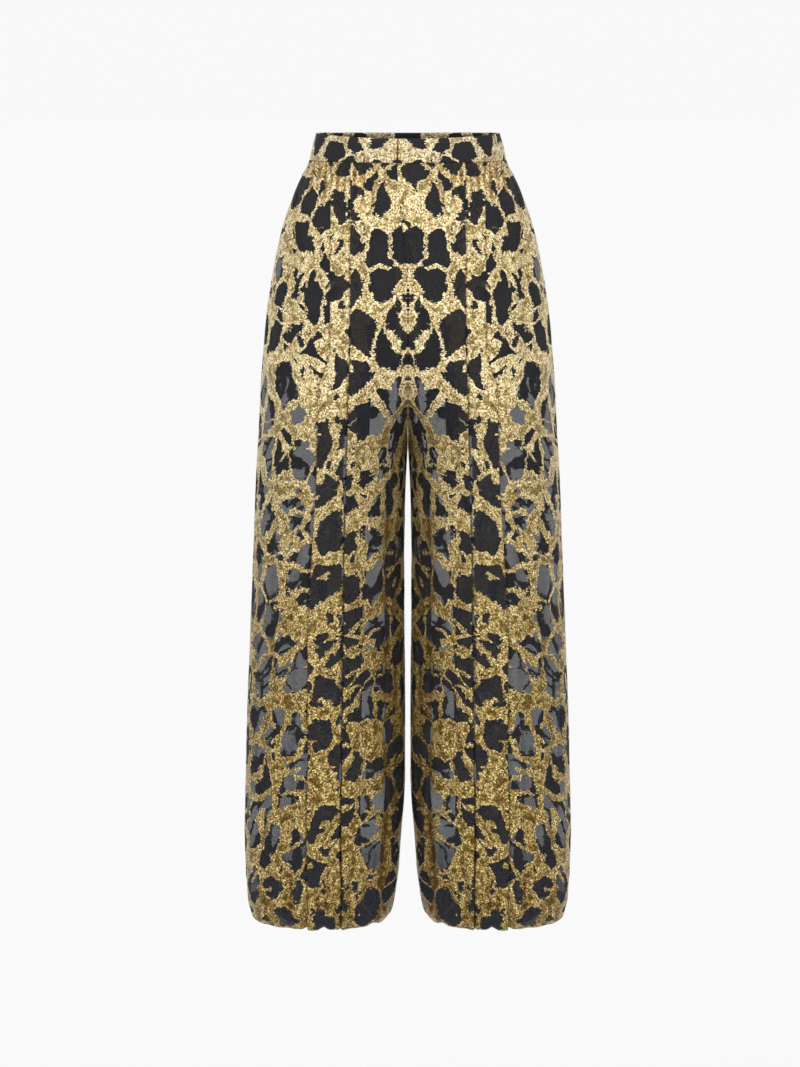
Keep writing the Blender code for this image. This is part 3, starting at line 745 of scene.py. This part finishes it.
def wrongSideMaterial(name, shift):
    # The sheer cloth's inner face, where the metal yarns hardly show
    material, tree, inputs, place, down = newMaterial(name, shift)
    gold = goldNetwork(tree, place, down).rise(-crepe["border"], crepe["border"])
    grain = Field(tree, noiseField(tree, place, *crepe["wrongGrain"]).outputs["Fac"])
    dull, bright = ((*tone, 1) for tone in crepe["wrongTones"])
    wrongGold = mixColours(tree, grain.rise(0.40, 0.75), dull, bright)
    colour = mixColours(tree, gold, (*crepe["legBlack"], 1), wrongGold)
    tree.links.new(colour, inputs["Base Color"])
    alpha = gold * (1.0 - crepe["sheerAlpha"]) + crepe["sheerAlpha"]
    tree.links.new(alpha.socket, inputs["Alpha"])
    inputs["Roughness"].default_value = 0.7
    inputs["Specular IOR Level"].default_value = 0.25
    return material


blackCloth = {
    "weave": 1500.0,
    "cloudy": 24.0,
    "tones": ((0.024, 0.022, 0.021), (0.038, 0.035, 0.033)),
    "roughness": (0.62, 0.2),  # least, and how much more the weave adds
    "bump": 0.0003,
    "sheen": 0.15,
}


def liningMaterial(name):
    material, tree, inputs, place = newMaterial(name)[:4]
    threads = turned(tree, place, 0, (1.0, 0.3))
    weave = Field(tree, noiseField(tree, threads, blackCloth["weave"], 1.0).outputs["Fac"])
    cloudy = Field(tree, noiseField(tree, place, blackCloth["cloudy"], 2.0).outputs["Fac"])
    dark, pale = ((*tone, 1) for tone in blackCloth["tones"])
    tree.links.new(mixColours(tree, weave * 0.5 + cloudy * 0.5, dark, pale), inputs["Base Color"])
    least, more = blackCloth["roughness"]
    tree.links.new((least + weave * more).socket, inputs["Roughness"])
    sockets = {"Height": weave, "Strength": 0.3, "Distance": blackCloth["bump"]}
    tree.links.new(addNode(tree, "ShaderNodeBump", {}, sockets).outputs[0], inputs["Normal"])
    inputs["Sheen Weight"].default_value = blackCloth["sheen"]
    return material


def finishPiece(piece, node):
    # Rides on the one body and stands for its solid, with the size that its cloth was cut to
    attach(piece, "root")
    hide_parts(node)
    print(f"{piece.name}: {flatArea(piece):.3f} m2, {len(piece.data.polygons)} faces")


print("leg panels")
panelPlaces = {"front": (0.0, -0.008), "back": (0.37, 0.11)}  # of the pattern
panelMaterials = {
    face: (
        goldMaterial(f"goldSheer_{face}", ("hipTones", "legTones"), True, shift),
        wrongSideMaterial(f"goldWrongSide_{face}", shift),
    )
    for face, shift in panelPlaces.items()
}
panels = [("left", 1, "front"), ("left", 1, "back"), ("right", -1, "front"), ("right", -1, "back")]
for sideName, side, face in panels:
    grid, u, v, paintedShade = panelGrid(side, face)
    piece = clothObject(
        f"{face}_{sideName}_cloth", grid, u, v, cut["cloth"], panelMaterials[face],
        flip=face == "front", mirrored=side < 0, paintedShade=paintedShade,
    )
    applyModifiers(piece)
    finishPiece(
        piece, f"{face}_{sideName}",
    )

# Lining shorts
lining = {
    "cloth": 0.8,
    "under": 0.5,  # how far under its solid's face the middle of the cloth lies
    "seamGap": 0.05,
    "top": 36.5,
    "easeTop": 4.9,  # room to the leg panels
    "ease": 9.0,
    "easeStart": (36.0, 110.0),
    "curveStart": 215.0,  # the crotch curve
    "crotch": 312.0,
    "hem": 320.0,
    "hemRows": (314.0, 317.0),
    "innerGap": (0.4, 3.0),  # at the crotch and the hem
    "waves": 0.5,
    "hemProud": 0.35,
    "hemStart": (300.0, 3.0),
    "hemEnd": (318.5, 1.5),
    "rows": 54,
    "columns": 60,
    "creases": (
        (30, 32, 120, 330, 9, 1.2), (74, 80, 180, 330, 11, 1.6), (118, 124, 90, 330, 12, 1.4),
        (158, 160, 140, 330, 9, 1.2),
    ),
    "seeds": {"front": 5.5, "back": 2.2},
    "flat": {"front": (0.225, 0.285), "back": (0.235, 0.285)},
}


def liningGrid(face):
    drop = np.linspace(lining["top"], lining["crotch"], lining["rows"])
    drop = np.concatenate((drop, lining["hemRows"], [lining["hem"]]))
    room = lining["easeTop"] + (lining["ease"] - lining["easeTop"]) * easePast(drop, lining["easeStart"])
    curve = (drop - lining["curveStart"]) / (lining["crotch"] - lining["curveStart"])
    closing = np.sqrt(np.clip(1.0 - np.clip(curve, 0.0, None) ** 2, 0.0, None))
    slimmer = np.sqrt(1.0 / (1.0 + np.sqrt(1.0 - closing**2)))
    inner = np.interp(drop, (lining["crotch"], lining["hem"]), lining["innerGap"])
    inner = inner * (drop >= lining["crotch"])
    rows = legShape["rows"][:8]  # as far as the crotch
    column = legShape["columns"].index
    sections = {"drop": drop, "inner": inner, "side": readTable(rows, drop, column("side")) - room}
    for name in ("front", "back"):
        depth = (readTable(rows, drop, column(name)) - room) * slimmer
        sections[name] = depth
        sections[name + "Seam"] = depth * closing
    tube = HalfTube(sections, face == "front")
    gap = np.arcsin(lining["seamGap"] / tube.depth)
    start = np.maximum(tube.angleAt(np.maximum(inner, lining["seamGap"])), gap)
    t = np.linspace(0.0, 1.0, lining["columns"])[None, :]
    angles = start[:, None] * (1 - t) + (math.pi - gap)[:, None] * t
    base = tube.points(angles)
    u = flatAcross(base)
    v = drop[:, None] + 0.0 * u
    waves = crumple(u, v, lining["seeds"][face])[0]
    sink = creaseDepth(lining["creases"], base[..., 0], v)[0] + lining["waves"] * waves + lining["under"]
    hem = lining["hemProud"] * easePast(drop, lining["hemStart"])[:, None]
    hem = hem * (1 - easePast(drop, lining["hemEnd"]))[:, None]
    return base - tube.outward(angles) * (sink - hem)[..., None], u, v


print("lining shorts")
liningCloth = liningMaterial("blackLining")
for sideName, side, face in panels:
    grid, u, v = liningGrid(face)
    piece = clothObject(
        f"lining_{face}_{sideName}_cloth", grid, u, v, lining["cloth"], [liningCloth],
        flip=face == "front", mirrored=side < 0,
    )
    applyModifiers(piece)
    finishPiece(
        piece, f"lining_{face}_{sideName}",
    )

# Waistband and its facing
band = {
    "topSide": 121.9,
    "topDepth": 85.0,
    "bottomSide": 130.6,
    "bottomDepth": 92.5,
    "height": 35.7,
    "frontDip": 4.5,
    "backDip": 2.5,
    "cloth": 2.2,
    "facing": 2.0,
    "facingStep": 0.6,  # its top edge is lower by this
    "under": 0.2,
    "swell": 0.7,
    "roundEdge": 0.6,
    "seamGap": 0.3,
    "rows": 12,
    "flyOffset": cut["flyOffset"],
    "backPlace": 190.0,  # of the pattern at the back's middle
    "flyShade": 0.9,
}


def bandGrid(start, end, inward, step, columns):
    angles = np.linspace(start, end, columns)[None, :]
    t = np.linspace(0.0, 1.0, band["rows"])[:, None]
    forward = np.sin(angles)
    dip = np.where(forward > 0, band["frontDip"], band["backDip"]) * forward**2
    drop = (dip + step) * (1 - t) + band["height"] * t
    down = drop / band["height"]
    side = band["topSide"] + (band["bottomSide"] - band["topSide"]) * down
    depth = band["topDepth"] + (band["bottomDepth"] - band["topDepth"]) * down
    out = np.stack((-depth * np.cos(angles), -side * forward, 0.0 * side), axis=-1)
    out /= np.linalg.norm(out, axis=-1, keepdims=True)
    points = np.stack((-side * np.cos(angles), -depth * forward, -drop), axis=-1)
    swell = band["swell"] * (4 * t * (1 - t)) * (1.0 if inward == 0 else 0.0) - band["under"]
    points += out * (swell - inward)[..., None]
    steps = np.linalg.norm(np.diff(points[-1], axis=0), axis=-1)
    u = np.concatenate(([0.0], np.cumsum(steps)))[None, :] + 0.0 * drop
    return points, u, drop + 0.0 * u


print("waistband")
bandGold = goldMaterial("goldBand", ("bandTones",), shift=(0.013, 0.052))
facingGold = goldMaterial("goldFacing", ("bandTones",), shift=(0.021, 0.35))
flyAngle = math.acos(band["flyOffset"] / band["bottomSide"])
bandPieces = (
    ("front_right", 0.0, flyAngle, 90, (0.165, 0.035)),
    ("front_left", flyAngle, math.pi, 100, (0.19, 0.035)),
    ("back", math.pi, 2 * math.pi, 190, (0.353, 0.036)),
)
for pieceName, start, end, columns, flat in bandPieces:
    gap = band["seamGap"] / 2 / band["topDepth"]
    for layerName, inward, step, thickness, material in (
        ("", 0.0, 0.0, band["cloth"], bandGold),
        ("facing_", band["cloth"] + band["seamGap"], band["facingStep"], band["facing"], facingGold),
    ):
        grid, u, v = bandGrid(start + gap, end - gap, inward, step, columns)
        if pieceName == "front_right":
            u = u[:, -1:] - u
        if pieceName == "back":
            u = np.abs(u - u.mean()) + band["backPlace"]
        # Painted shade: a dark line along the front pieces' closing edge at the fly
        paintedShade = 0.0 * u
        if layerName == "" and pieceName != "back":
            paintedShade[:, -1 if pieceName == "front_right" else 0] = band["flyShade"]
        node = f"waistband_{layerName}{pieceName}"
        piece = clothObject(
            f"{node}_cloth", grid, u, v, thickness, [material], flip=True, offset=-1.0, paintedShade=paintedShade,
        )
        edge = piece.modifiers.new("edge", "BEVEL")
        edge.width = band["roundEdge"] * mm
        edge.segments = 2
        edge.limit_method = "ANGLE"
        edge.angle_limit = math.radians(50)
        applyModifiers(piece)
        finishPiece(piece, node)

# Ankle bands
ankle = {
    "drop": 1031.7,
    "height": 27.0,
    "side": 175.0,
    "inner": 64.0,
    "depth": 48.5,
    "cloth": 1.4,
    "under": 0.3,
    "ripple": 0.25,
    "ripples": 37,
    "columns": 140,
    "rows": 12,
    "flat": (0.33, 0.027),
}


def ankleGrid():
    t = np.linspace(0.0, 1.0, ankle["rows"])[:, None]
    angles = np.linspace(0.0, 2 * math.pi, ankle["columns"], endpoint=False)[None, :]
    half = (ankle["side"] - ankle["inner"]) / 2
    centre = (ankle["side"] + ankle["inner"]) / 2
    ripple = ankle["ripple"] * np.sin(ankle["ripples"] * angles) * t * (1 - t) * 4
    proud = ankle["cloth"] + ripple - ankle["under"]
    x = centre +(half + proud) * np.cos(angles)
    y = (ankle["depth"] + proud) * np.sin(angles)
    drop = ankle["drop"] - ankle["height"] * t + 0.0 * angles
    u = angles * (half + ankle["depth"]) / 2 + 0.0 * drop
    return np.stack((x, y, -drop), axis=-1), u, ankle["height"] * t + 0.0 * u


print("ankle bands")
for sideName, side in (("left", 1), ("right", -1)):
    grid, u, v = ankleGrid()
    piece = clothObject(
        f"ankle_band_{sideName}_cloth", grid, u, v, ankle["cloth"], [bandGold],
        mirrored=side < 0, offset=-1.0, closed=True,
    )
    applyModifiers(piece)
    finishPiece(piece, f"ankle_band_{sideName}")

# Sewing: rows of stitches along edges, and the tacks that hold the fly and the inner legs
sewing = {
    "hemRow": 8.0,  # from the lining's hem up to its stitches
    "hemStep": 3.0,
    "hemStitch": (2.3, 0.4),  # length and thickness
    "tackStep": 0.55,
    "tackStitch": (2.4, 0.45),
    "tackTurn": 80,  # its stitches lie across the row
    "raised": 0.1,  # off the cloth
    "tacks": ((-2.6, 178.0, -2.2, 190.0), (23.0, 488.0, 29.0, 488.0), (-29.0, 488.0, -23.0, 488.0)),
}


def stitchNodes():
    # A thread-thin rounded stitch at even steps along each edge
    group = bpy.data.node_groups.new("stitches", "GeometryNodeTree")
    group.interface.new_socket("Geometry", in_out="INPUT", socket_type="NodeSocketGeometry")
    for name in ("Step", "Length", "Thickness", "Across"):
        group.interface.new_socket(name, in_out="INPUT", socket_type="NodeSocketFloat")
    group.interface.new_socket("Thread", in_out="INPUT", socket_type="NodeSocketMaterial")
    group.interface.new_socket("Geometry", in_out="OUTPUT", socket_type="NodeSocketGeometry")
    given = addNode(group, "NodeGroupInput").outputs
    rows = addNode(group, "GeometryNodeMeshToCurve", {}, {"Mesh": given["Geometry"]}).outputs[0]
    sockets = {"Curve": rows, "Length": given["Step"]}
    places = addNode(group, "GeometryNodeCurveToPoints", {"mode": "LENGTH"}, sockets).outputs
    sockets = {0: given["Thickness"], 1: given["Thickness"], 2: given["Length"]}
    size = addNode(group, "ShaderNodeCombineXYZ", {}, sockets).outputs[0]
    sockets = {"Segments": 8, "Rings": 6, "Radius": 0.5}
    thread = addNode(group, "GeometryNodeMeshUVSphere", {}, sockets).outputs[0]
    unevenness = {"Min": (-0.09, -0.09, -0.2), "Max": (0.09, 0.09, 0.2), "Seed": 4}
    wobble = addNode(group, "FunctionNodeRandomValue", {"data_type": "FLOAT_VECTOR"}, unevenness).outputs[0]
    across = addNode(group, "ShaderNodeCombineXYZ", {}, {1: given["Across"]}).outputs[0]
    tilt = addNode(group, "ShaderNodeVectorMath", {"operation": "ADD"}, {0: wobble, 1: across}).outputs[0]
    sockets = {
        "Points": places["Points"], "Instance": thread, "Rotation": places["Rotation"], "Scale": size,
    }
    placed = addNode(group, "GeometryNodeInstanceOnPoints", {}, sockets).outputs[0]
    sockets = {"Instances": placed, "Rotation": tilt}
    tilted = addNode(group, "GeometryNodeRotateInstances", {}, sockets).outputs[0]
    whole = addNode(group, "GeometryNodeRealizeInstances", {}, {0: tilted}).outputs[0]
    sockets = {"Geometry": whole, "Material": given["Thread"]}
    coloured = addNode(group, "GeometryNodeSetMaterial", {}, sockets)
    result = addNode(group, "NodeGroupOutput")
    group.links.new(coloured.outputs[0], result.inputs[0])
    return group


def stitchPiece(name, rows, step, stitch, across, thread, group):
    # rows are lists of points in metres, and each becomes one row of stitches
    points, edges = [], []
    for row in rows:
        first = len(points)
        points += [tuple(point) for point in row]
        edges += [(k, k + 1) for k in range(first, len(points) - 1)]
    mesh = bpy.data.meshes.new(name)
    mesh.from_pydata(points, edges, [])
    piece = bpy.data.objects.new(name, mesh)
    bpy.context.scene.collection.objects.link(piece)
    sewn = piece.modifiers.new("stitches", "NODES")
    sewn.node_group = group
    values = {
        "Step": step * mm,
        "Length": stitch[0] * mm,
        "Thickness": stitch[1] * mm,
        "Across": across,
        "Thread": thread,
    }
    for item in group.interface.items_tree:
        if item.in_out == "INPUT" and item.name in values:
            sewn[item.identifier] = values[item.name]
    applyModifiers(piece)
    piece.data.shade_smooth()
    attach(piece, "root")
    print(f"{name}: {len(piece.data.polygons)} faces")


def hemRows():
    # Along the outer face of the lining's hem, round both legs
    rows = []
    for face in ("front", "back"):
        grid, u, v = liningGrid(face)
        row = int(np.argmin(np.abs(v[:, 0] - (lining["hem"] - sewing["hemRow"]))))
        outward = np.cross(np.gradient(grid[row], axis=0), (0.0, 0.0, 1.0))
        outward /= np.linalg.norm(outward, axis=-1, keepdims=True)
        outward *= np.sign(outward[:, 1:2].mean()) * (-1.0 if face == "front" else 1.0)
        line = grid[row] + outward * (lining["cloth"] / 2 + sewing["raised"])
        line[:, 2] += originDrop
        rows += [line * mm, line * (-mm, mm, mm)]
    return rows


def tackRows():
    # Short rows on the outer face of the front, found by looking back from before it
    fronts = [bpy.data.objects[f"front_{sideName}_cloth"] for sideName in ("left", "right")]
    rows = []
    for x, drop, endX, endDrop in sewing["tacks"]:
        row = []
        for t in (0.0, 0.5, 1.0):
            start = Vector((x + (endX - x) * t, -400.0, originDrop - drop - (endDrop - drop) * t)) * mm
            hits = [front.ray_cast(start, Vector((0, 1, 0))) for front in fronts]
            nearest = min(place.y for found, place, normal, index in hits if found)
            row.append((start.x, nearest - sewing["raised"] * mm, start.z))
        rows.append(row)
    return rows


print("sewing")
thread = liningMaterial("blackThread")
stitches = stitchNodes()
hemStitches = (sewing["hemStep"], sewing["hemStitch"], 0.0)
tackStitches = (sewing["tackStep"], sewing["tackStitch"], math.radians(sewing["tackTurn"]))
stitchPiece("lining_hem_stitches", hemRows(), *hemStitches, thread, stitches)
stitchPiece("front_tack_stitches", tackRows(), *tackStitches, thread, stitches)

# Studio: the camera looks down a little from the front, at the photograph's angle
studio = {
    "cameraDistance": 6.0,
    "cameraElevation": 7.1,
    "cameraAim": (-0.0105, 0.0, -0.517),
    "lens": 151.07,
    "sensor": 36.0,
    "floorDrop": 1.95,
    "floorSize": 60.0,
    "skyLight": 0.947,
    "keyStrength": 1.5,
    "keyAngle": 35.0,
}


def makeFloor():
    builder = bmesh.new()
    bmesh.ops.create_grid(builder, x_segments=1, y_segments=1, size=studio["floorSize"])
    mesh = bpy.data.meshes.new("floor")
    builder.to_mesh(mesh)
    builder.free()
    floor = bpy.data.objects.new("floor", mesh)
    floor.location.z = -studio["floorDrop"]
    bpy.context.scene.collection.objects.link(floor)
    material = bpy.data.materials.new("paleFloor")
    material.use_nodes = True
    shader = material.node_tree.nodes["Principled BSDF"]
    shader.inputs["Base Color"].default_value = (0.672, 0.672, 0.672, 1)
    shader.inputs["Roughness"].default_value = 1.0
    shader.inputs["Specular IOR Level"].default_value = 0.0
    mesh.materials.append(material)


def makeLights():
    world = bpy.data.worlds.new("studio")
    bpy.context.scene.world = world
    world.use_nodes = True
    sky = world.node_tree.nodes["Background"]
    sky.inputs["Color"].default_value = (1, 1, 1, 1)
    sky.inputs["Strength"].default_value = studio["skyLight"]
    for name, share, turnX, turnZ in (("key", 1.0, 42.0, -24.0), ("fill", 0.45, 58.0, 40.0)):
        light = bpy.data.lights.new(name, "SUN")
        light.energy = studio["keyStrength"] * share
        light.angle = math.radians(studio["keyAngle"])
        lamp = bpy.data.objects.new(name, light)
        lamp.rotation_euler = (math.radians(turnX), 0, math.radians(turnZ))
        bpy.context.scene.collection.objects.link(lamp)


def makeCamera():
    lens = bpy.data.cameras.new("camera")
    lens.sensor_width = studio["sensor"]
    lens.lens = studio["lens"]
    camera = bpy.data.objects.new("camera", lens)
    tilt = math.radians(studio["cameraElevation"])
    back = Vector((0, -math.cos(tilt), math.sin(tilt)))
    camera.location = Vector(studio["cameraAim"]) + back * studio["cameraDistance"]
    camera.rotation_mode = "QUATERNION"
    camera.rotation_quaternion = (-back).to_track_quat("-Z", "Y")
    bpy.context.scene.collection.objects.link(camera)
    bpy.context.scene.camera = camera


print("studio")
makeFloor()
makeLights()
makeCamera()
bpy.context.scene.view_settings.view_transform = "Standard"

bpy.context.view_layer.update()
